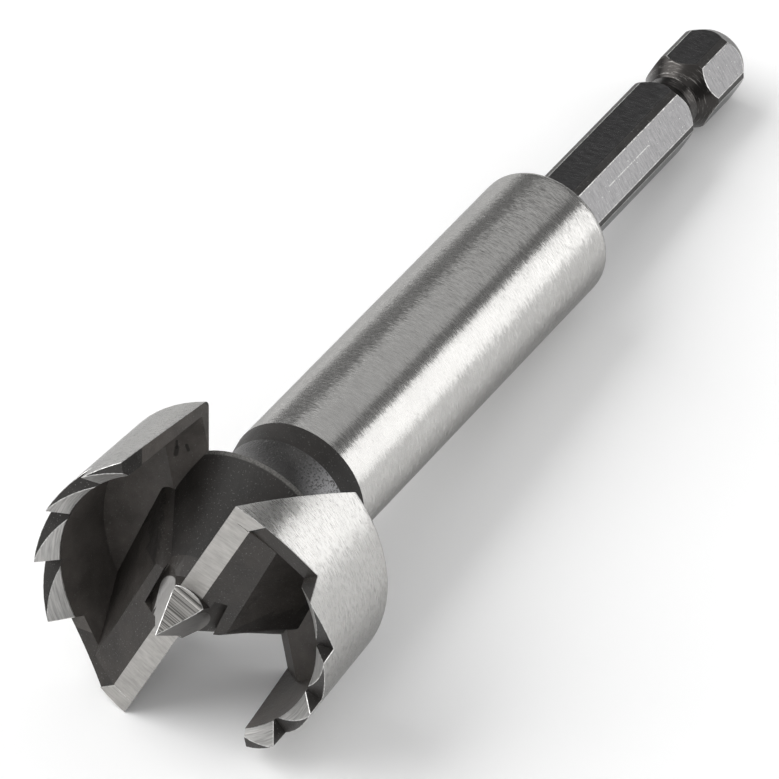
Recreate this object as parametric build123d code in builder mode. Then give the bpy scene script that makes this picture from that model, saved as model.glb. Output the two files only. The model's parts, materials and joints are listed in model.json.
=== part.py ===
from build123d import *
from math import cos, radians, sin, tan
import os

# A saw-tooth forstner bit for large clean holes in wood, turned, milled and ground
# from one bar of steel. It is drawn along its own axis: the rim's tooth tips lie in
# the plane z = 0, the centre point rises to +Z, the hexagonal shank ends below, and
# the outer corner of one blade points to +X. The cutting edges advance counter-
# clockwise seen from the tip. Everything in the head stands twice, half a turn apart.
# At the end the bit is laid down as it comes to rest on a table.

# Driving sizes of the whole bit, in millimetres and degrees
head_diameter = 26.0
length = 90.0
head_height = 11.5
back_taper = 2.85

# Rim, bowl and core
wall = 1.5
floor_depth = 8.1
core_top_radius = 1.58
core_flare = 33.2
rear_rise = 1.15
rear_round = 0.5

# Blades
edge_depth = 0.3
edge_skew = 4.6
edge_lead = 1.09
rake = 28.0
relief = 6.2
land = 2.0
ridge_offset = (3.6, 4.45)
ridge_depth = (2.3, 1.0)
foot_offset = 7.4
end_offset = 1.1
end_lean = 9.6
end_round = 1.0
blade_start = 4.0

# Saw teeth on each half of the rim
teeth = 4
first_tip = -42.2
pitch = 24.5
gullet_depth = 1.8
gullet_front = 1.0
tooth_crown = 0.15
land_sweep = 12.2
first_gullet_depth = (2.25, 2.45)
first_gullet_front = 5.0
first_crown = (0.2, -0.4)

# Tail of each half, where the chips leave
tail_heading = 34.0
tail_offset = 3.38
tail_lean = 9.0
ramp_offset = 4.05
ramp_lean = 45.0

# Centre point
point_height = 3.36
point_half_angle = 26.5
point_turn = -4.7
point_run = 1.45
point_reach = 2.7
side_half_angle = 21.8
side_turn = -5.65
side_run = 1.7
side_reach = 2.95
side_depth = 2.35
column_radius = 2.5
grinding_reach = 2.6

# Neck and round shaft
neck_top_radius = 8.1
neck_radius = 5.65
neck_flare = 5.0
neck_end = 16.75
shaft_diameter = 12.0
shaft_start = 18.7
shaft_end = 59.75
shaft_round = 0.9

# Hexagonal shank
hex_size = 6.35
hex_turn = -4.0
hex_corner = 0.36
hex_end_radius = 2.8
hex_end_lean = 27.0
groove_from_end = 8.3
groove_width = 5.2
groove_radius = 2.4
groove_slope = 2.1

# Sizes that follow
head_radius = head_diameter / 2
rear_radius = head_radius - head_height * tan(radians(back_taper))
bowl_radius = head_radius - wall
shaft_radius = shaft_diameter / 2
neck_top = head_height - rear_rise
hex_radius = hex_size / 2 / cos(radians(30))
hex_end_run = (hex_radius - hex_end_radius) / tan(radians(hex_end_lean))
first_root = first_tip + first_gullet_front
over = 4.0
deep = head_height + over
high = point_height + over


def wall_plane(heading, lean, offset, depth=0):
    """Plane along a heading, at an offset from the axis at a depth, leaning from it."""
    turn = radians(heading)
    side = Vector(-sin(turn), cos(turn), 0)
    normal = side * cos(radians(lean)) + Vector(0, 0, sin(radians(lean)))
    return Plane(
        origin=side * offset - Vector(0, 0, depth),
        x_dir=(cos(turn), sin(turn), 0),
        z_dir=normal,
    )


# Faces of one blade, each with its normal pointing away from the metal
rake_face = wall_plane(-edge_skew, -rake, edge_lead, edge_depth)
land_face = wall_plane(-edge_skew, 90 + relief, edge_lead, edge_depth)
end_face = wall_plane(90, end_lean, end_offset)

# The faces that end the other half of the rim and its web, across the chip gap
tail_face = wall_plane(tail_heading, -tail_lean, tail_offset)
ramp_face = wall_plane(tail_heading, -ramp_lean, ramp_offset, floor_depth)

# Turned blank of the head, neck and shaft, with a column left for the centre point
with BuildPart() as blank:
    with BuildSketch(Plane.XZ) as profile:
        with BuildLine():
            Polyline(
                (0, point_height),
                (column_radius, point_height),
                (column_radius, 0),
                (head_radius, 0),
                (rear_radius, -head_height),
                (neck_top_radius, -neck_top),
            )
            TangentArc(
                (neck_radius, -neck_top - neck_flare),
                (neck_top_radius, -neck_top),
                tangent=(0, 1),
            )
            Polyline(
                (neck_radius, -neck_top - neck_flare),
                (neck_radius, -neck_end),
                (shaft_radius, -shaft_start),
                (shaft_radius, -shaft_end),
                (0, -shaft_end),
                (0, point_height),
            )
        make_face()
        fillet(profile.vertices().sort_by_distance((rear_radius, -head_height))[0], rear_round)
        fillet(profile.vertices().sort_by_distance((shaft_radius, -shaft_end))[0], shaft_round)
    revolve(axis=Axis.Z)

# One blade, leaning back from its rake face. Its section is drawn beyond the centre and
# at the rim, and the twisted second relief falls from the land to a ridge between them.
with BuildPart() as blade:
    for x, ridge, low in zip((-blade_start, head_radius), ridge_offset, ridge_depth):
        edge = edge_lead / cos(radians(edge_skew)) - x * tan(radians(edge_skew))
        rake_run = (deep - edge_depth) * tan(radians(rake)) / cos(radians(edge_skew))
        back_slope = (foot_offset - ridge) / (floor_depth - low)
        with BuildSketch(Plane.YZ.offset(x)):
            with BuildLine():
                Polyline(
                    (edge - rake_run, -deep),
                    (edge, -edge_depth),
                    (edge - land, -edge_depth - land * tan(radians(relief))),
                    (-ridge, -low),
                    (-foot_offset - (deep - floor_depth) * back_slope, -deep),
                    (edge - rake_run, -deep),
                )
            make_face()
    loft(ruled=True)
    split(bisect_by=end_face, keep=Keep.BOTTOM)
    middle = floor_depth / 2
    corner = (-end_offset - middle * tan(radians(end_lean)), -(ridge_offset[0] + foot_offset) / 2, -middle)
    fillet(blade.edges().sort_by_distance(corner)[0], end_round)
    with BuildSketch(Plane.XY.offset(-deep)):
        Circle(head_radius)
    extrude(amount=deep, mode=Mode.INTERSECT)


def point_outline(half_angle, run, reach, depth):
    """Half of a ground pair of facets: straight from the tip, then swept outwards."""
    knee = (run, point_height - run / tan(radians(half_angle)))
    slope = (sin(radians(half_angle)), -cos(radians(half_angle)))
    Line((0, point_height), knee)
    TangentArc(knee, (reach, -depth), tangent=slope)
    Polyline((reach, -depth), (head_radius, -depth), (head_radius, -deep), (0, -deep), (0, point_height))


# Two crossed pairs of facets that meet in the tip and run out into the core
with BuildPart() as point:
    with BuildSketch(Plane.XZ.rotated((0, 0, point_turn))):
        with BuildLine():
            point_outline(point_half_angle, point_run, point_reach, edge_depth)
        make_face()
        mirror(about=Plane.YZ)
    extrude(amount=head_radius, both=True)
    with BuildSketch(Plane.YZ.rotated((0, 0, side_turn))):
        with BuildLine():
            point_outline(side_half_angle, side_run, side_reach, side_depth)
        make_face()
        mirror(about=Plane.YZ)
    extrude(amount=head_radius, both=True, mode=Mode.INTERSECT)

# What the grinding of the point takes away, as wide as the space between the lands
with BuildPart() as grinding:
    with BuildSketch(Plane.XY.offset(-side_depth)):
        Rectangle(2 * grinding_reach, 2 * side_reach)
    extrude(amount=side_depth + high)
    add(point.part, mode=Mode.SUBTRACT)

# Core cone with both blades on it, ground to the centre point
with BuildPart() as standing:
    with BuildSketch(Plane.XZ):
        with BuildLine():
            Polyline(
                (0, point_height),
                (column_radius, point_height),
                (column_radius, -(column_radius - core_top_radius) / tan(radians(core_flare))),
                (core_top_radius + deep * tan(radians(core_flare)), -deep),
                (0, -deep),
                (0, point_height),
            )
        make_face()
    revolve(axis=Axis.Z)
    with PolarLocations(0, 2):
        add(blade.part)
    add(grinding.part, mode=Mode.SUBTRACT)

# Bowl inside the rim, down to the floor that the two webs keep
with BuildPart() as bowl:
    with BuildSketch(Plane.XY.offset(-floor_depth)):
        Circle(bowl_radius)
    extrude(amount=floor_depth + high)
    add(standing.part, mode=Mode.SUBTRACT)

# Chip gap in front of each blade, right through the head to the tail of the other half
with BuildPart() as gap:
    with BuildSketch(Plane.XY.offset(-deep)):
        Rectangle(head_diameter, 2 * head_diameter, align=(Align.MIN, Align.CENTER))
    extrude(amount=deep + high)
    split(bisect_by=tail_face, keep=Keep.BOTTOM)
    split(bisect_by=rake_face, keep=Keep.TOP)
    add(standing.part, mode=Mode.SUBTRACT)

# Ramp on the tail of each web, inside the rim
with BuildPart() as ramp:
    with BuildSketch(Plane.XY.offset(-deep)):
        Circle(bowl_radius)
        Rectangle(head_diameter, 2 * head_diameter, align=(Align.MAX, Align.CENTER), mode=Mode.SUBTRACT)
    extrude(amount=deep - floor_depth)
    split(bisect_by=ramp_face, keep=Keep.BOTTOM)
    split(bisect_by=rake_face, keep=Keep.TOP)
    add(standing.part, mode=Mode.SUBTRACT)

# Land of the blade carried out onto the rim
with BuildPart() as rim_land:
    with BuildSketch(Plane.XZ.rotated((0, 0, -land_sweep))):
        with Locations((bowl_radius, -over)):
            Rectangle(3 * wall, 2 * over, align=(Align.MIN, Align.MIN))
    revolve(axis=Axis.Z, revolution_arc=land_sweep + pitch)
    split(bisect_by=land_face, keep=Keep.TOP)

# Bevel inside the saw teeth, as deep as the rim is wide, from the first gullet's root on
tail_sweep = teeth * pitch + pitch - first_tip
with BuildPart() as bevel:
    with BuildSketch(Plane.XZ.rotated((0, 0, -tail_sweep))):
        with BuildLine():
            Polyline(
                (head_radius, 0),
                (bowl_radius, -wall),
                (bowl_radius, over),
                (head_radius + over, over),
                (head_radius, 0),
            )
        make_face()
    revolve(axis=Axis.Z, revolution_arc=tail_sweep + first_root)


def gullet(front, back, depth, start_depth, crown):
    """Outline of a gullet seen from outside: steep front, long crowned back."""
    tip = (-head_radius * sin(radians(front)), 0)
    end = (head_radius * sin(radians(back)), -start_depth)
    Line(tip, (0, -depth))
    SagittaArc((0, -depth), end, crown)
    Polyline(end, (end[0], over), (tip[0], over), tip)


# Gullets between the teeth, each cut outwards through the rim. The first one of a half
# starts where the land ends on the rim, and is ground a little differently on each.
land_end_depth = edge_depth + (head_radius * sin(radians(land_sweep)) + edge_lead) * tan(radians(relief))
with BuildPart() as gullets:
    for half, (depth, crown) in enumerate(zip(first_gullet_depth, first_crown)):
        for tooth in range(1, teeth + 1):
            root = 180 * half + first_tip - tooth * pitch + gullet_front
            with BuildSketch(Plane.YZ.rotated((0, 0, root))):
                with BuildLine():
                    gullet(gullet_front, pitch - gullet_front, gullet_depth, 0, tooth_crown)
                make_face()
            extrude(amount=head_diameter)
        with BuildSketch(Plane.YZ.rotated((0, 0, 180 * half + first_root))):
            with BuildLine():
                gullet(first_gullet_front, -land_sweep - first_root, depth, land_end_depth, crown)
            make_face()
        extrude(amount=head_diameter)
    with BuildSketch(Plane.XY.offset(-deep)):
        Circle(bowl_radius)
    extrude(amount=deep + high, mode=Mode.SUBTRACT)

# Hexagonal shank with flat corners, a turned snap groove and a turned cone on its end
with BuildPart() as shank:
    with BuildSketch(Plane.XY.offset(-length)):
        RegularPolygon(hex_radius, 6, rotation=hex_turn)
        chamfer(vertices(), hex_corner)
    extrude(amount=length - shaft_end + shaft_round)
    groove_middle = -length + groove_from_end
    with BuildSketch(Plane.XZ):
        with BuildLine():
            Polyline(
                (hex_size, groove_middle - groove_width / 2),
                (hex_radius, groove_middle - groove_width / 2),
                (groove_radius, groove_middle - groove_width / 2 + groove_slope),
                (groove_radius, groove_middle + groove_width / 2 - groove_slope),
                (hex_radius, groove_middle + groove_width / 2),
                (hex_size, groove_middle + groove_width / 2),
                (hex_size, groove_middle - groove_width / 2),
            )
        make_face()
        with BuildLine():
            Polyline(
                (hex_end_radius, -length),
                (hex_radius, -length + hex_end_run),
                (hex_size, -length + hex_end_run),
                (hex_size, -length),
                (hex_end_radius, -length),
            )
        make_face()
    revolve(axis=Axis.Z, mode=Mode.SUBTRACT)

# The whole bit on its own axis
with BuildPart() as bit:
    add(blank.part)
    add(bowl.part, mode=Mode.SUBTRACT)
    for cutter in (gap, ramp, rim_land, bevel):
        with PolarLocations(0, 2):
            add(cutter.part, mode=Mode.SUBTRACT)
    add(gullets.part, mode=Mode.SUBTRACT)
    add(shank.part)


# The bit comes to rest on the corner of one blade, the rear of the rim behind the gap
# beside it, and the end of the shank. Each foot is the lowest spot of its own stretch.
spots = [edge @ (step / 8) for edge in bit.edges() for step in range(9)]
stretches = ((-2 * edge_depth, 0), (-head_height, -neck_top + rear_rise / 2), (-length, -length + hex_end_run))
down = Vector(-1, -0.3, -0.1)
for _ in range(8):
    feet = []
    for low, top in stretches:
        feet.append(max((spot for spot in spots if low - 0.01 <= spot.Z <= top + 0.01), key=down.dot))
    down = (feet[1] - feet[0]).cross(feet[2] - feet[0]).normalized()
    if down.X > 0:
        down = down * -1
table = Plane(origin=feet[0], x_dir=Vector(0, 0, -1) + down * down.Z, z_dir=down * -1)
with BuildPart() as lying:
    with Locations(table.location.inverse()):
        add(bit.part)
box = lying.part.bounding_box()

with BuildPart() as forstner_bit:
    with Locations((-box.center().X, -box.center().Y, -box.min.Z)):
        add(lying.part)

os.makedirs("parts", exist_ok=True)
forstner_bit.part.label = "forstner_bit"
export_step(forstner_bit.part, "parts/forstner_bit.step")
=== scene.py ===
import json
import math

import bmesh
import bpy
import numpy as np
from mathutils import Matrix, Vector


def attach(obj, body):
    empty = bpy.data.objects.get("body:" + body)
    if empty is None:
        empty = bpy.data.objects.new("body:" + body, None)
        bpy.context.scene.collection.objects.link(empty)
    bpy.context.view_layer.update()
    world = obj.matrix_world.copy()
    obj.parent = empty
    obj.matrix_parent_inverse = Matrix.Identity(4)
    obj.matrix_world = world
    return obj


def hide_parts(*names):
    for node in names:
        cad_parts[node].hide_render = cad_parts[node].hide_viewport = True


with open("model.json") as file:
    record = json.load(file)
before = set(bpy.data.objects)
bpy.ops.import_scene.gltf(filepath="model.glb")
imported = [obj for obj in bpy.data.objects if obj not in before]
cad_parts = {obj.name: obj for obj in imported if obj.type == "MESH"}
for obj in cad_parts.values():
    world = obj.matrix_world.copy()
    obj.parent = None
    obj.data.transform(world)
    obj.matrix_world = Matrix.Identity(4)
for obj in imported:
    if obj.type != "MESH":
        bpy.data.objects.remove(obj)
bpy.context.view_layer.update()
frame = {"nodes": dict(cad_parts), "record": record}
mm_per_metre = 1000

# %% [markdown]
# ## The tool's own axes
# Every ground face on such a bit is set out from the tool's axis. So the finish is worked out in
# tool axes too: z runs along the axis to the tip, with its zero in the plane of the tooth tips, and
# x runs to the outer corner of the first blade. The record says where the shaft is clamped, which
# gives the axis, and the roll is the turn at which the bit came to rest.
# %% Tool axes
roll = math.radians(-17.135)
rim_from_axis = 0.0125

shaft_mount = next(m for m in frame["record"]["mounts"] if m["name"] == "shaft")
to_tip = -Vector(shaft_mount["axis"]).normalized()
upward = (Vector((0, 0, 1)) - to_tip * to_tip.z).normalized()
sideways = to_tip.cross(upward)
tool_x = math.cos(roll) * upward + math.sin(roll) * sideways
tool_y = to_tip.cross(tool_x)
turn_to_tool = Matrix((tool_x, tool_y, to_tip))

solid = frame["nodes"]["forstner_bit"]
corners = np.array([v.co for v in solid.data.vertices])
turned = (corners - np.array(shaft_mount["pos_m"])) @ np.array(turn_to_tool).T
on_rim = np.hypot(turned[:, 0], turned[:, 1]) > rim_from_axis
tips_height = turned[on_rim, 2].max()
tool_origin = Vector(shaft_mount["pos_m"]) + to_tip * tips_height


def in_tool_axes(place):
    """A place of the scene as a place in tool axes, in millimetres."""
    return turn_to_tool @ (place - tool_origin) * mm_per_metre


tips_ahead = round(mm_per_metre * tips_height, 2)
print("the tooth tips stand", tips_ahead, "mm in front of the clamped length's middle")

# %% [markdown]
# ## One mesh to work on
# The solid arrives as loose triangles. A copy with its corners joined can be shaded smooth round the
# turned parts while the ground edges stay crisp. The solid itself isn't touched.
# %% Merged copy
crisp_angle = math.radians(18)
steps_per_metre = 1e7

keys = np.round(corners * steps_per_metre).astype(np.int64)
_, first, same = np.unique(keys, axis=0, return_index=True, return_inverse=True)
triangles = [tuple(int(same[i]) for i in face.vertices) for face in solid.data.polygons]
triangles = [t for t in triangles if len(set(t)) == 3]
mesh = bpy.data.meshes.new("forstner_bit_finish")
mesh.from_pydata([tuple(c) for c in corners[first]], [], triangles)
mesh.validate()
mesh.shade_smooth()
mesh.set_sharp_from_angle(angle=crisp_angle)
bit = bpy.data.objects.new("forstner_bit_finish", mesh)
bpy.context.scene.collection.objects.link(bit)
print("joined mesh:", len(mesh.vertices), "corners and", len(mesh.polygons), "triangles")

# %% [markdown]
# ## Start of a material
# Steel that a wheel has cut looks the way the wheel moved. Pictures laid over the part would need
# unwrapping and would blur. So each material reads the piece's own coordinates, turned into tool axes
# and millimetres, and a scratch can run round the axis, along a cutting edge or across a land.
# %% Point in tool axes
def tool_point(tree):
    """The shaded point in tool axes, in millimetres."""
    place = tree.nodes.new("ShaderNodeTexCoord").outputs["Object"]
    mapping = tree.nodes.new("ShaderNodeMapping")
    mapping.inputs["Location"].default_value = turn_to_tool @ tool_origin * -mm_per_metre
    mapping.inputs["Rotation"].default_value = turn_to_tool.to_euler()
    mapping.inputs["Scale"].default_value = (mm_per_metre,) * 3
    tree.links.new(place, mapping.inputs["Vector"])
    return mapping.outputs["Vector"]


def start_material(name):
    """A new material with its tree, its surface node and the point in tool axes."""
    material = bpy.data.materials.new(name)
    material.use_nodes = True
    tree = material.node_tree
    return material, tree, tree.nodes["Principled BSDF"], tool_point(tree)


# %% [markdown]
# ## Grain
# Scratches, specks and clouds all come from one fractal noise. Stretched along an axis it becomes
# streaks, and a narrow part of its range, spread out, becomes crisp marks.
# %% Noise and ranges
def stretched(tree, point, scale):
    """The same point with each tool axis scaled, so that a noise becomes streaks."""
    mapping = tree.nodes.new("ShaderNodeMapping")
    mapping.inputs["Scale"].default_value = scale
    tree.links.new(point, mapping.inputs["Vector"])
    return mapping.outputs["Vector"]


def noise(tree, point, scale, detail, rough):
    """Fractal noise from 0 to 1, with its scale per mm, its number of finer layers and their share."""
    node = tree.nodes.new("ShaderNodeTexNoise")
    node.inputs["Scale"].default_value = scale
    node.inputs["Detail"].default_value = detail
    node.inputs["Roughness"].default_value = rough
    tree.links.new(point, node.inputs["Vector"])
    return node.outputs["Fac"]


def streaky(tree, point, stretch, detail, rough):
    """Noise whose scale per mm differs along the three tool axes."""
    return noise(tree, stretched(tree, point, stretch), scale=1.0, detail=detail, rough=rough)


def ranged(tree, value, low, high, to_low=0.0, to_high=1.0):
    """A value's range mapped to another one, and held inside it."""
    node = tree.nodes.new("ShaderNodeMapRange")
    for name, setting in (("From Min", low), ("From Max", high), ("To Min", to_low), ("To Max", to_high)):
        node.inputs[name].default_value = setting
    tree.links.new(value, node.inputs["Value"])
    return node.outputs["Result"]


# %% [markdown]
# ## Sums
# A finish is built up from sums on values and directions. Small helpers keep each finish readable.
# %% Sums of values and vectors
def socket_or_value(tree, socket, value):
    """Joins a socket to an input, or writes a plain value to it."""
    if isinstance(value, bpy.types.NodeSocket):
        tree.links.new(value, socket)
    else:
        socket.default_value = value


def calculated(tree, operation, one, two):
    """The operation's result on two values, each a socket or a number."""
    node = tree.nodes.new("ShaderNodeMath")
    node.operation = operation
    socket_or_value(tree, node.inputs[0], one)
    socket_or_value(tree, node.inputs[1], two)
    return node.outputs[0]


def times(tree, one, two):
    """One value times the other."""
    return calculated(tree, "MULTIPLY", one, two)


def vectors(tree, operation, one, two=(0, 0, 0)):
    """The operation's result on two vectors, each a socket or plain numbers."""
    node = tree.nodes.new("ShaderNodeVectorMath")
    node.operation = operation
    socket_or_value(tree, node.inputs[0], one)
    socket_or_value(tree, node.inputs["Scale" if operation == "SCALE" else 1], two)
    return node.outputs["Value" if operation in ("LENGTH", "DOT_PRODUCT") else "Vector"]


# %% [markdown]
# ## Colour and direction
# A finish changes three things from place to place: how light the steel is, how rough it is, and
# which way the surface leans. Scratches lean it too little to be modelled, but a mirror shows them.
# %% Colours and leaning surfaces
def mixed(tree, share, one, two):
    """Colour one where share is 0 and colour two where it is 1."""
    node = tree.nodes.new("ShaderNodeMix")
    node.data_type = "RGBA"
    tree.links.new(share, node.inputs["Factor"])
    socket_or_value(tree, node.inputs[6], one)
    socket_or_value(tree, node.inputs[7], two)
    return node.outputs[2]


def shaded(tree, tint, shade):
    """A colour made lighter or darker by a value around 1."""
    return vectors(tree, "SCALE", tint, shade)


def bumped(tree, height, depth):
    """A shading normal from a height from 0 to 1 that is depth millimetres deep."""
    node = tree.nodes.new("ShaderNodeBump")
    node.inputs["Distance"].default_value = depth / mm_per_metre
    tree.links.new(height, node.inputs["Height"])
    return node.outputs["Normal"]


def along(tree, direction):
    """A direction of the piece as a tangent for brushed metal."""
    node = tree.nodes.new("ShaderNodeVectorTransform")
    node.vector_type = "VECTOR"
    node.convert_from = "OBJECT"
    node.convert_to = "WORLD"
    node.inputs["Vector"].default_value = direction
    return node.outputs["Vector"]


def tilted(tree, slope_round, slope_along):
    """The surface's direction, tilted a little round the tool and along it by slopes near 0."""
    straight = tree.nodes.new("ShaderNodeNewGeometry").outputs["Normal"]
    axis = along(tree, to_tip)
    round_tool = vectors(tree, "CROSS_PRODUCT", axis, straight)
    leaning = vectors(tree, "ADD", straight, vectors(tree, "SCALE", round_tool, slope_round))
    leaning = vectors(tree, "ADD", leaning, vectors(tree, "SCALE", axis, slope_along))
    return vectors(tree, "NORMALIZE", leaning)


# %% [markdown]
# ## Ground bright steel
# The shaft and the rim are ground between centres. The wheel leaves short fine streaks round the
# tool, which spread a highlight along the axis. That is what draws the long light and dark bands and
# frays their borders. A noise that is fine along the axis and long across it makes the streaks.
# %% Turned and ground finish
steel = (0.525, 0.518, 0.505)
grazing_tint = (0.55, 0.55, 0.55, 1)
streak_scale = (1.5, 1.5, 12.0)
hair_scale = (1.6, 1.6, 9.0)
spread_along = 0.6
lean_along = 0.14


def ground_round(name, rough, fray):
    """Bright steel with streaks round the tool's axis, whose slopes reach fray."""
    material, tree, surface, point = start_material(name)
    streaks = streaky(tree, point, streak_scale, detail=3.0, rough=0.7)
    hairs = streaky(tree, point, hair_scale, detail=3.0, rough=0.7)
    cloud = noise(tree, point, scale=0.5, detail=3.0, rough=0.6)
    shade = ranged(tree, hairs, 0.3, 0.7, 0.85, 1.10)
    shade = times(tree, shade, ranged(tree, cloud, 0.3, 0.7, 0.96, 1.03))
    surface.inputs["Metallic"].default_value = 1.0
    tree.links.new(shaded(tree, steel, shade), surface.inputs["Base Color"])
    tree.links.new(ranged(tree, hairs, 0.3, 0.7, rough - 0.03, rough + 0.05), surface.inputs["Roughness"])
    surface.inputs["Anisotropic"].default_value = spread_along
    surface.inputs["Specular Tint"].default_value = grazing_tint
    tree.links.new(along(tree, to_tip), surface.inputs["Tangent"])
    slope_round = ranged(tree, streaks, 0.25, 0.75, -fray, fray)
    slope_along = ranged(tree, hairs, 0.25, 0.75, -lean_along, lean_along)
    tree.links.new(tilted(tree, slope_round, slope_along), surface.inputs["Normal"])
    return material


shaft_steel = ground_round("ground_shaft", rough=0.25, fray=0.055)
rim_steel = ground_round("ground_rim", rough=0.27, fray=0.06)
print("ground round:", shaft_steel.name, "and", rim_steel.name)

# %% [markdown]
# ## Lands and bevels
# The cutting lands and the bevel inside the teeth are ground last. Each stroke of a wheel leaves a
# straight scratch, across the land and round the bevel. For the bevel the point is first given as
# distance, bearing and height, so that its scratches follow the rim.
# %% Finish of the ground flats
land_tint = (0.437, 0.425, 0.408)
across_the_land = (5.0, 0.7, 0.7)
round_the_bevel = (7.0, 5.0, 7.0)


def split_up(tree, point):
    """The three coordinates of a point."""
    node = tree.nodes.new("ShaderNodeSeparateXYZ")
    tree.links.new(point, node.inputs[0])
    return node.outputs


def round_axis(tree, point):
    """The point as its distance from the axis (mm), its bearing (radians) and its height (mm)."""
    x, y, z = split_up(tree, point)
    distance = calculated(tree, "SQRT", calculated(tree, "ADD", times(tree, x, x), times(tree, y, y)), 0.0)
    node = tree.nodes.new("ShaderNodeCombineXYZ")
    tree.links.new(distance, node.inputs[0])
    tree.links.new(calculated(tree, "ARCTAN2", y, x), node.inputs[1])
    tree.links.new(z, node.inputs[2])
    return node.outputs[0]


def ground_flat(name, tint, rough, scale, depth, dark, cylinder=False):
    """Steel with scratches whose fineness along each tool axis is given."""
    material, tree, surface, point = start_material(name)
    if cylinder:
        point = round_axis(tree, point)
    scratches = streaky(tree, point, scale, detail=3.0, rough=0.65)
    cloud = noise(tree, point, scale=0.7, detail=3.0, rough=0.6)
    shade = ranged(tree, scratches, 0.32, 0.68, dark, 1.1)
    shade = times(tree, shade, ranged(tree, cloud, 0.35, 0.7, 0.88, 1.05))
    surface.inputs["Metallic"].default_value = 1.0
    tree.links.new(shaded(tree, tint, shade), surface.inputs["Base Color"])
    surface.inputs["Roughness"].default_value = rough
    tree.links.new(bumped(tree, scratches, depth), surface.inputs["Normal"])
    return material


land_steel = ground_flat(
    "ground_land", land_tint, rough=0.38, scale=across_the_land, depth=0.006, dark=0.84,
)
bevel_steel = ground_flat(
    "ground_bevel", steel, rough=0.42, scale=round_the_bevel, depth=0.010, dark=0.6, cylinder=True,
)
print("ground flat:", land_steel.name, "and", bevel_steel.name)

# %% [markdown]
# ## Point
# The two main faces of the centre point show a few coarse lines of a rough wheel. A noise that changes
# almost only along the axis makes them, and a finer copy of it breaks them up.
# %% Striped finish
point_tint = (0.45, 0.438, 0.418)
wheel_lines = (0.0, 0.03, 6.5)
finer = 3


def striped(name, tint, rough, scale, depth):
    """Steel with a few coarse, crisp wheel lines."""
    material, tree, surface, point = start_material(name)
    lines = streaky(tree, point, scale, detail=1.0, rough=0.5)
    fine = streaky(tree, point, [finer * size for size in scale], detail=1.0, rough=0.5)
    shade = times(tree, ranged(tree, lines, 0.43, 0.57, 0.33, 1.12), ranged(tree, fine, 0.4, 0.6, 0.7, 1.1))
    surface.inputs["Metallic"].default_value = 1.0
    tree.links.new(shaded(tree, tint, shade), surface.inputs["Base Color"])
    surface.inputs["Roughness"].default_value = rough
    tree.links.new(bumped(tree, lines, depth), surface.inputs["Normal"])
    return material


point_steel = striped("ground_point", point_tint, rough=0.34, scale=wheel_lines, depth=0.02)
print("striped:", point_steel.name)

# %% [markdown]
# ## Scale
# Where no wheel reaches, the hardened steel keeps its black-brown skin. It is dull and a little lumpy,
# with fine specks where it has flaked. It is lighter on the upright walls and the ramps. One ramp has
# two small dents, each a thin short line, because a round one would look stamped. Each dent is pressed
# in by a bump and painted darker, as painted shade in its hollow. The hub's rim is rubbed lighter
# beyond a worn radius.
# %% Scale finish
bowl_tint = (0.035, 0.031, 0.028)
# Dark colour for the dents: painted shade in their hollows.
dent_shade_tint = (0.012, 0.011, 0.010, 1)
worn_tint = (0.14, 0.136, 0.128, 1)
scale_depth = 0.02
scale_gloss = 0.33
lump_share = 2.5
dent_shade_share = 0.7
worn_border = 0.06
dents = [
    ((6.25, 8.28, -8.78), (5.75, 8.00, -8.72), 0.13),
    ((5.75, 8.00, -8.72), (5.23, 7.81, -8.60), 0.24),
    ((6.04, 7.55, -9.27), (5.67, 7.23, -9.32), 0.16),
]


def near_line(tree, point, one, two, width, core=0.6):
    """1 close to the line between two places in mm, falling to 0 at its width."""
    reach = Vector(two) - Vector(one)
    from_one = vectors(tree, "SUBTRACT", point, one)
    share = vectors(tree, "DOT_PRODUCT", from_one, tuple(reach / reach.length_squared))
    share = calculated(tree, "MAXIMUM", calculated(tree, "MINIMUM", share, 1.0), 0.0)
    rest = vectors(tree, "SUBTRACT", from_one, vectors(tree, "SCALE", tuple(reach), share))
    return ranged(tree, vectors(tree, "LENGTH", rest), core * width, width, 1.0, 0.0)


def scale_colours(tree, point, tint, speck):
    """Colour of scale, cloudy and lightly specked, with the cloud and the grain that made it."""
    cloud = noise(tree, point, scale=0.45, detail=4.0, rough=0.6)
    grain = noise(tree, point, scale=7.0, detail=3.0, rough=0.6)
    shade = ranged(tree, cloud, 0.35, 0.7, 0.78, 1.32)
    ground = shaded(tree, tint, shade)
    flecks = mixed(tree, ranged(tree, grain, 0.63, 0.69), ground, (speck, speck, 0.95 * speck, 1))
    return flecks, cloud, grain


def scale_skin(name, tint, rough, speck, dents=(), worn_radius=None):
    """Dull scale with dents darkened by painted shade, and lighter beyond a worn radius in mm where one is
    given.
    """
    material, tree, surface, point = start_material(name)
    colour, cloud, grain = scale_colours(tree, point, tint, speck)
    lumps = noise(tree, point, scale=1.1, detail=4.0, rough=0.55)
    height = calculated(tree, "ADD", grain, times(tree, lumps, lump_share))
    for one, two, width in dents:
        pressed = near_line(tree, point, one, two, width)
        # Painted shade: each dent is darkened as if shade lay in its hollow.
        colour = mixed(tree, times(tree, pressed, dent_shade_share), colour, dent_shade_tint)
        height = calculated(tree, "SUBTRACT", height, pressed)
    if worn_radius:
        distance = split_up(tree, round_axis(tree, point))[0]
        worn = ranged(tree, distance, worn_radius, worn_radius + worn_border)
        worn = times(tree, worn, ranged(tree, grain, 0.35, 0.6, 0.3, 1.0))
        colour = mixed(tree, worn, colour, worn_tint)
    tree.links.new(colour, surface.inputs["Base Color"])
    surface.inputs["Specular IOR Level"].default_value = scale_gloss
    tree.links.new(ranged(tree, cloud, 0.3, 0.7, rough - 0.06, rough + 0.06), surface.inputs["Roughness"])
    tree.links.new(bumped(tree, height, scale_depth), surface.inputs["Normal"])
    return material


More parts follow.
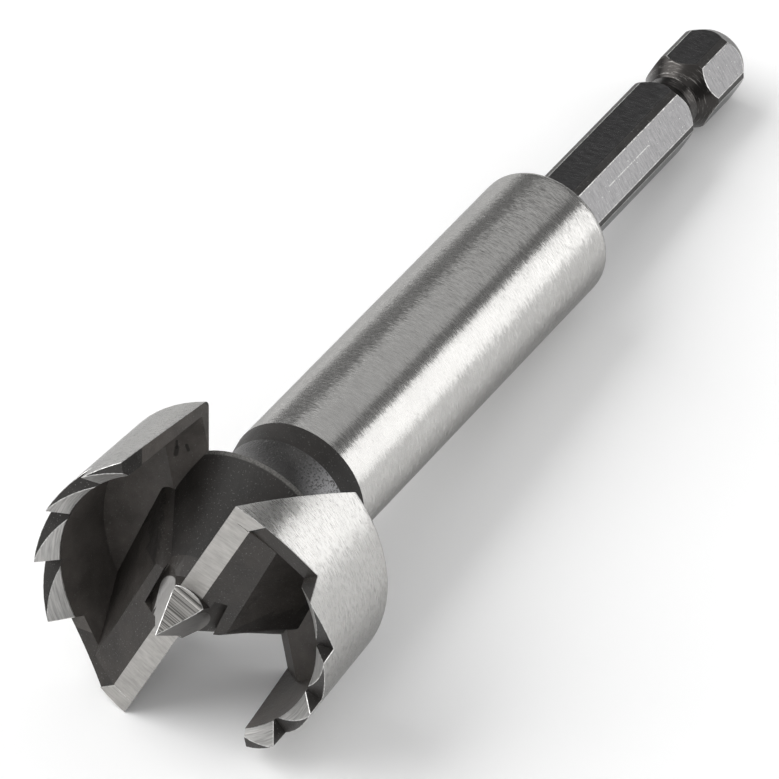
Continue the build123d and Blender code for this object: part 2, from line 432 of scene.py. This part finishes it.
bowl_scale = scale_skin("scale_bowl", bowl_tint, rough=0.50, speck=0.12)
wall_scale = scale_skin("scale_wall", (0.094, 0.085, 0.078), rough=0.50, speck=0.16, dents=dents)
tooth_scale = scale_skin("scale_teeth", (0.031, 0.029, 0.0275), rough=0.45, speck=0.14)
hub_scale = scale_skin("scale_hub", (0.020, 0.018, 0.0165), rough=0.55, speck=0.10, worn_radius=8.19)
print("scale:", [skin.name for skin in (bowl_scale, wall_scale, tooth_scale, hub_scale)])

# %% [markdown]
# ## Neck
# The neck was turned before hardening. Its skin is a little pitted, and on one side a lighter patch is
# painted on as a painted highlight, in which the pits show as dark dots.
# %% Neck finish
# Place, width and length in mm of the painted highlight on one side of the neck.
highlight_place = (4.9, -3.2, -16.3)
highlight_width = 3.9
highlight_length = 0.8
pit_depth = 0.07


def neck_skin(name, tint, highlight_tint, place, width):
    """Pitted scale with a painted highlight round a place in mm, except in its pits."""
    material, tree, surface, point = start_material(name)
    colour = scale_colours(tree, point, tint, speck=0.2)[0]
    pits = noise(tree, point, scale=5.2, detail=2.0, rough=0.6)
    far_end = (place[0], place[1], place[2] + highlight_length)
    # Painted highlight: a lighter patch round the given place, kept out of the pits.
    painted_highlight = near_line(tree, point, place, far_end, width, core=0.1)
    painted_highlight = times(tree, painted_highlight, ranged(tree, pits, 0.39, 0.47))
    tree.links.new(mixed(tree, painted_highlight, colour, highlight_tint), surface.inputs["Base Color"])
    surface.inputs["Metallic"].default_value = 0.75
    surface.inputs["Roughness"].default_value = 0.42
    tree.links.new(bumped(tree, pits, pit_depth), surface.inputs["Normal"])
    return material


neck_scale = neck_skin(
    "scale_neck", (0.062, 0.060, 0.059), (0.24, 0.24, 0.245, 1), highlight_place, highlight_width,
)
print("pitted:", neck_scale.name)

# %% [markdown]
# ## Flats of the shank
# The flats of the shank are drawn steel under a thin skin, with fine scratches across them and a few
# bright specks. One flat carries a long scratch along the tool, as a chuck leaves it. The skin is
# thin enough to mirror a lamp, so each flat is light or dark as a whole.
# %% Finish of the flats
scratched_bearing = math.radians(-34)
flat_from_axis = 3.17
flat_out = Vector((math.cos(scratched_bearing), math.sin(scratched_bearing), 0))
flat_across = Vector((-flat_out.y, flat_out.x, 0))
beside_middle = 0.15
scratch_heights = (-66.0, -73.0)
on_the_flat = flat_from_axis * flat_out + beside_middle * flat_across
long_scratch = [tuple(on_the_flat + Vector((0, 0, z))) for z in scratch_heights]
scratch_width = 0.06
across_the_flat = (1.2, 1.2, 6.0)
speck_tint = (0.42, 0.42, 0.41, 1)
scratch_tint = (0.36, 0.36, 0.35, 1)


def shank_skin(name, tint, rough):
    """Thin smooth skin with scratches across, bright specks and one long scratch."""
    material, tree, surface, point = start_material(name)
    scratches = streaky(tree, point, across_the_flat, detail=3.0, rough=0.7)
    grain = noise(tree, point, scale=5.0, detail=3.0, rough=0.65)
    shade = ranged(tree, scratches, 0.32, 0.68, 0.78, 1.2)
    flecks = mixed(tree, ranged(tree, grain, 0.66, 0.71), shaded(tree, tint, shade), speck_tint)
    score = near_line(tree, point, *long_scratch, scratch_width)
    flecks = mixed(tree, times(tree, score, ranged(tree, grain, 0.42, 0.5)), flecks, scratch_tint)
    tree.links.new(flecks, surface.inputs["Base Color"])
    surface.inputs["Specular Tint"].default_value = grazing_tint
    surface.inputs["Metallic"].default_value = 1.0
    dullness = ranged(tree, scratches, 0.3, 0.7, rough - 0.05, rough + 0.05)
    tree.links.new(dullness, surface.inputs["Roughness"])
    tree.links.new(bumped(tree, scratches, depth=0.006), surface.inputs["Normal"])
    return material


flat_scale = shank_skin("scale_flats", (0.195, 0.193, 0.195), rough=0.18)
print("thin skin:", flat_scale.name)

# %% [markdown]
# ## Groove of the shank
# The snap groove and the shank's end were turned after drawing. The tool left fine rings, and where
# the dark skin is thin, bare steel shines through them.
# %% Finish of the groove
ring_scale = (0.9, 0.9, 9.0)
dark_skin = (0.048, 0.045, 0.043, 1)
bare_steel = (0.26, 0.25, 0.24, 1)


def groove_skin(name, tint, bare, rough):
    """Scale over turning marks, which shine through where the skin is thin."""
    material, tree, surface, point = start_material(name)
    marks = streaky(tree, point, ring_scale, detail=3.0, rough=0.65)
    colour = mixed(tree, ranged(tree, marks, 0.57, 0.70), tint, bare)
    tree.links.new(colour, surface.inputs["Base Color"])
    surface.inputs["Metallic"].default_value = 1.0
    surface.inputs["Roughness"].default_value = rough
    tree.links.new(bumped(tree, marks, depth=0.012), surface.inputs["Normal"])
    return material


groove_scale = groove_skin("scale_groove", dark_skin, bare_steel, rough=0.30)
print("turned marks:", groove_scale.name)

# %% [markdown]
# ## Sides of the point
# The two narrow sides of the point are ground with a small wheel that runs out in a rounded end.
# Their ground leaf stops inside the solid's face, so the border is drawn in the finish, as half an
# ellipse with its middle, half width and depth in mm.
# %% Finish of the point's sides
down_the_leaf = (4.0, 4.0, 0.8)
dull_rough = 0.52


def point_side(name, tint, middle, half_width, depth, shine, rough):
    """Smooth ground steel inside a rounded leaf, and scale outside it."""
    material, tree, surface, point = start_material(name)
    x, y, z = split_up(tree, point)
    across = calculated(tree, "DIVIDE", calculated(tree, "SUBTRACT", x, middle), half_width)
    down = calculated(tree, "DIVIDE", calculated(tree, "MINIMUM", z, 0.0), depth)
    square = calculated(tree, "ADD", times(tree, across, across), times(tree, down, down))
    inside = ranged(tree, square, 0.97, 1.03, 1.0, 0.0)
    scratches = streaky(tree, point, down_the_leaf, detail=2.0, rough=0.6)
    bright = shaded(tree, tint, ranged(tree, scratches, 0.3, 0.7, 0.88, 1.04))
    dull = scale_colours(tree, point, bowl_tint, speck=0.13)[0]
    tree.links.new(mixed(tree, inside, dull, bright), surface.inputs["Base Color"])
    tree.links.new(times(tree, inside, shine), surface.inputs["Metallic"])
    tree.links.new(ranged(tree, inside, 0.0, 1.0, dull_rough, rough), surface.inputs["Roughness"])
    return material


left_side = point_side(
    "point_side_left", (0.44, 0.43, 0.42), middle=-0.20, half_width=2.28, depth=2.14,
    shine=0.35, rough=0.5,
)
# The same leaf as on the left, with a darker tint as painted shade for the shadowed floor this side faces.
shaded_right_side = point_side(
    "point_side_right_shaded", (0.22, 0.213, 0.205), middle=-0.65, half_width=1.95, depth=1.76,
    shine=1.0, rough=0.34,
)
print("leaves:", left_side.name, "and", shaded_right_side.name)

# %% [markdown]
# ## Which face has which finish
# The wheels reach known places only, so a face's place and the way it looks in tool axes say how it
# was made. Faces could be picked by number, but the numbers change with each new solid. Both halves
# of the head are alike, so a direction is compared with the wanted one and with its half turn.
# Heights are in mm along the axis, from the plane of the tooth tips, and radii in mm from the axis.
# %% Places and directions
finishes = [
    bowl_scale, wall_scale, tooth_scale, hub_scale, neck_scale, flat_scale, groove_scale,
    rim_steel, shaft_steel, land_steel, bevel_steel, point_steel, left_side, shaded_right_side,
]
for material in finishes:
    mesh.materials.append(material)
number = {material.name: i for i, material in enumerate(finishes)}

shank_front = -60.0
shank_end = -89.0
groove_radius = 2.5
flat_bearing = 26.0
flat_pitch = 60.0
beside_flat = 8.0
shaft_front = -18.65
cone_front = -16.0
head_rear = -11.0
head_middle = -6.0
rim_radius = 12.0
point_radius = 3.6
point_base = -2.4
striped_radius = 3.2
striped_base = -0.4
land_base = -2.6
tooth_radius = 11.3
tooth_base = -2.7
hub_radius = 8.6
hub_front = -3.0
wall_radius = 7.0
first_gullet = (math.radians(-38.0), math.radians(-12.0))
land_normal = Vector((-0.00866, -0.10765, 0.99415))
ramp_normal = Vector((0.395, -0.586, 0.707))


def half_turned(vector):
    """A direction after half a turn round the axis."""
    return Vector((-vector.x, -vector.y, vector.z))


def looks_like(normal, wanted, closeness):
    """Whether a face looks in the wanted direction, on either half of the head."""
    return any(normal.dot(way) > closeness for way in (wanted, half_turned(wanted)))


print("finishes:", len(finishes))

# %% [markdown]
# The shank comes first, then the round parts, the ground faces of the head, and at last its scale.
# %% Sorting the faces
def shank_finish(middle, normal, r):
    """The finish of a face of the shank: turned, rounded corner or flat."""
    if abs(normal.z) > 0.2 or (r < groove_radius and middle.z > shank_end):
        return "scale_groove"
    bearing = math.degrees(math.atan2(normal.y, normal.x))
    off_flat = abs((bearing - flat_bearing + flat_pitch / 2) % flat_pitch - flat_pitch / 2)
    return "scale_teeth" if off_flat > beside_flat else "scale_flats"


def scale_finish(middle, normal, r):
    """The finish of a face that no wheel reaches: cone, neck, hub, wall or bowl."""
    if middle.z < head_rear or (middle.z < head_middle and normal.z < -0.3):
        return "scale_hub" if middle.z < cone_front and normal.z > 0.1 else "scale_neck"
    if r < hub_radius and middle.z < hub_front and 0.5 < normal.z < 0.6:
        return "scale_hub"
    upright = (normal.z < 0.3 and r > wall_radius) or normal.z > 0.99
    return "scale_wall" if upright or looks_like(normal, ramp_normal, 0.99) else "scale_bowl"


def finish_of(middle, normal):
    """The finish of a face from its middle (mm) and its outward direction, both in tool axes."""
    r = math.hypot(middle.x, middle.y)
    outward = (normal.x * middle.x + normal.y * middle.y) / max(r, 1e-6)
    if middle.z < shank_front:
        return shank_finish(middle, normal, r)
    if middle.z < shaft_front:
        return "ground_shaft"
    if r > rim_radius and outward > 0.9:
        return "ground_rim"
    if r < point_radius and middle.z > point_base and abs(normal.y) > 0.5:
        return "point_side_left" if normal.y > 0 else "point_side_right_shaded"
    if r < striped_radius and middle.z > striped_base and normal.z > 0.1:
        return "ground_point"
    if middle.z > land_base and looks_like(normal, land_normal, 0.9995):
        return "ground_land"
    bearing = math.atan2(middle.y, middle.x) % math.pi - math.pi
    in_first_gullet = first_gullet[0] < bearing < first_gullet[1]
    if r > tooth_radius and middle.z > tooth_base and normal.z > 0.05 and not in_first_gullet:
        return "ground_bevel" if outward < -0.4 else "scale_teeth"
    return scale_finish(middle, normal, r)


count = {}
for face in mesh.polygons:
    name = finish_of(in_tool_axes(face.center), turn_to_tool @ face.normal)
    face.material_index = number[name]
    count[name] = count.get(name, 0) + 1
print("faces by finish:", count)

# %% [markdown]
# ## Worn edges
# A ground edge is never quite sharp: it carries a narrow bright line where the burr was rubbed off.
# A bevel is cut there, because a line painted in a texture would not catch the light. Its steel is also
# painted lighter than the steel beside it, as a painted highlight. Flat faces are first made whole
# from their triangles, and the outer edges of ground faces and shank flats are found.
# %% Edges to rub
edge_width = 0.045
edge_angle = math.radians(24)
flat_angle = math.radians(0.2)
edge_grain = (3.0, 3.0, 3.0)

# Tints of the rubbed edges, lighter than the ground steel: real wear with a painted highlight on it.
edge_highlight_tints = (
    ("ground_edge_highlight", (0.74, 0.735, 0.72), 0.34),
    ("shank_edge_highlight", (0.78, 0.77, 0.76), 0.28),
)
for name, tint, rough in edge_highlight_tints:
    number[name] = len(mesh.materials)
    mesh.materials.append(ground_flat(name, tint, rough, edge_grain, depth=0.010, dark=0.4))
rubbed_names = ("ground_rim", "ground_land", "ground_bevel", "ground_point", "scale_flats")
rubbed = {number[name] for name in rubbed_names}

shape = bmesh.new()
shape.from_mesh(mesh)
bmesh.ops.scale(shape, vec=(mm_per_metre,) * 3, verts=shape.verts)
bmesh.ops.dissolve_limit(
    shape, angle_limit=flat_angle, verts=shape.verts, edges=shape.edges, delimit={"MATERIAL"},
)
worn = [
    edge for edge in shape.edges
    if edge.is_manifold and edge.is_convex and edge.calc_face_angle() > edge_angle
    and {face.material_index for face in edge.link_faces} & rubbed
]
print("flat faces made whole:", len(shape.faces), "faces, and", len(worn), "edges to rub")

# %% [markdown]
# The bevel is cut while the mesh is in millimetres, because in metres its smallest edges come close to
# the rounding of such tools. Ground flats stay flat in their shading, and all else is smooth up to its
# crisp edges.
# %% Bevel
bmesh.ops.bevel(
    shape, geom=worn, offset=edge_width, offset_type="OFFSET", segments=1, profile=0.5,
    affect="EDGES", clamp_overlap=False, material=number["ground_edge_highlight"],
)
bmesh.ops.triangulate(shape, faces=[face for face in shape.faces if len(face.verts) > 4])
open_edges = [edge for edge in shape.edges if not edge.is_manifold]
bmesh.ops.scale(shape, vec=(1 / mm_per_metre,) * 3, verts=shape.verts)
shape.to_mesh(mesh)
shape.free()
mesh.shade_smooth()
mesh.set_sharp_from_angle(angle=crisp_angle)
flat_finishes = {number[name] for name in ("ground_land", "scale_flats", "ground_edge_highlight")}
for face in mesh.polygons:
    face.use_smooth = face.material_index not in flat_finishes
edge_area = sum(face.area for face in mesh.polygons if face.material_index == number["ground_edge_highlight"])
print("rubbed edges:", round(edge_area * mm_per_metre ** 2, 2), "square mm")
print("after the bevel:", len(mesh.polygons), "faces and", len(open_edges), "open edges")

# %% [markdown]
# Edges of the shank get a brighter painted highlight than the others. Edges that face within the
# given bearings, beside the flat that looks dark, get the teeth's dark scale instead, as painted shade.
# With that the finished mesh takes the place of the plain solid.
# %% Shank edges and hand-over
# Bearings in degrees of the shank edges that get painted shade instead of a painted highlight.
shade_bearings = (4.0, 34.0)

for face in mesh.polygons:
    if face.material_index == number["ground_edge_highlight"] and in_tool_axes(face.center).z < shank_front:
        normal = turn_to_tool @ face.normal
        bearing = math.degrees(math.atan2(normal.y, normal.x))
        in_shade = shade_bearings[0] < bearing < shade_bearings[1]
        face.material_index = number["scale_teeth" if in_shade else "shank_edge_highlight"]

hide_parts("forstner_bit")
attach(bit, "root")
print("finished piece:", bit.name)

# %% [markdown]
# ## Floor
# A white paper floor shows white to the camera and in the steel, and keeps the tool's shadow. Its
# colour does that, with a small lift that only cameras and mirrors see, so no light is added for it.
# %% Paper floor
paper_colour = 0.97
paper_lift = 0.055
floor_size = 6.0


def paper():
    """White paper that looks a little brighter to the camera and in mirrors than it lights the tool."""
    material = bpy.data.materials.new("paper")
    material.use_nodes = True
    tree = material.node_tree
    surface = tree.nodes["Principled BSDF"]
    surface.inputs["Base Color"].default_value = (paper_colour,) * 3 + (1,)
    surface.inputs["Roughness"].default_value = 1.0
    surface.inputs["Specular IOR Level"].default_value = 0.0
    surface.inputs["Emission Color"].default_value = (1, 1, 1, 1)
    rays = tree.nodes.new("ShaderNodeLightPath")
    either = calculated(tree, "MAXIMUM", rays.outputs["Is Camera Ray"], rays.outputs["Is Glossy Ray"])
    either = calculated(tree, "MAXIMUM", either, rays.outputs["Is Transmission Ray"])
    tree.links.new(times(tree, either, paper_lift), surface.inputs["Emission Strength"])
    return material


bpy.ops.mesh.primitive_plane_add(size=floor_size, location=(0, 0, 0))
floor = bpy.context.object
floor.name = "floor"
floor.data.materials.append(paper())
print("floor:", floor_size, "m wide")

# %% [markdown]
# ## Light
# Bright steel looks like what stands round it. Six soft lamps lie along the tool, so that their
# reflections make long bands which keep their place from head to shank, with dim room between them.
# %% Room and lamps
room_light = 0.18

world = bpy.data.worlds.new("studio")
bpy.context.scene.world = world
world.use_nodes = True
background = world.node_tree.nodes["Background"]
background.inputs["Color"].default_value = (1, 1, 1, 1)
background.inputs["Strength"].default_value = room_light


def lamp(name, forward, bearing, distance, length, width, brightness):
    """A soft lamp beside the tool, in metres, with its length along the tool. The bearing goes round
    the tool: 0 is level on the right, 90 is overhead and 180 is level on the left. A brightness of 1
    is as bright as white paper."""
    turn = math.radians(bearing)
    away = Vector((0, -math.cos(turn), math.sin(turn)))
    ahead = Vector((1, 0, 0))
    data = bpy.data.lights.new(name, "AREA")
    data.shape = "RECTANGLE"
    data.size = length
    data.size_y = width
    data.energy = brightness * math.pi * length * width
    thing = bpy.data.objects.new(name, data)
    bpy.context.scene.collection.objects.link(thing)
    facing = Matrix((ahead, away.cross(ahead), away)).transposed().to_4x4()
    thing.matrix_world = Matrix.Translation(ahead * forward + away * distance) @ facing
    return thing


lamps = [
    lamp("overhead", forward=-0.31, bearing=90, distance=0.95, length=1.2, width=1.5, brightness=0.60),
    lamp("key", forward=-0.46, bearing=136, distance=1.10, length=1.4, width=1.0, brightness=3.0),
    lamp("right", forward=0.77, bearing=22, distance=0.70, length=1.0, width=0.66, brightness=1.95),
    lamp("behind", forward=0.80, bearing=102, distance=0.70, length=1.0, width=0.87, brightness=0.46),
    lamp("left", forward=0.75, bearing=180, distance=0.90, length=1.0, width=0.08, brightness=1.9),
    lamp("front", forward=-1.10, bearing=60, distance=0.75, length=0.7, width=1.0, brightness=1.8),
]
print("lamps:", [thing.name for thing in lamps])

# %% [markdown]
# ## Camera
# The photo was taken from the tip's side, from well above, with a long lens. A camera could be moved
# by eye until the picture fits. Here its place and lens were fitted to the outlines of head, shaft
# and hexagon, because the same fit also gives the tool's sizes. Places are in metres.
# %% Camera
aim = Vector((-0.005205, 0.002484, 0.004295))
camera_azimuth = math.radians(-62.819)
camera_elevation = math.radians(43.745)
camera_roll = math.radians(3.924)
camera_distance = 0.635
focal_length = 361.86
film_width = 36

back = Vector((
    math.sin(camera_azimuth) * math.cos(camera_elevation),
    -math.cos(camera_azimuth) * math.cos(camera_elevation),
    math.sin(camera_elevation),
))
level = Vector((0, 0, 1)).cross(back).normalized()
right = math.cos(camera_roll) * level + math.sin(camera_roll) * back.cross(level)
camera_data = bpy.data.cameras.new("camera")
camera_data.lens = focal_length
camera_data.sensor_width = film_width
camera_data.clip_start = 0.01
camera_data.clip_end = 20
camera = bpy.data.objects.new("camera", camera_data)
bpy.context.scene.collection.objects.link(camera)
facing = Matrix((right, back.cross(right), back)).transposed().to_4x4()
camera.matrix_world = Matrix.Translation(aim + camera_distance * back) @ facing
bpy.context.scene.camera = camera
bpy.context.scene.view_settings.view_transform = "Standard"
print("camera:", round(camera_distance, 3), "m from the tool")
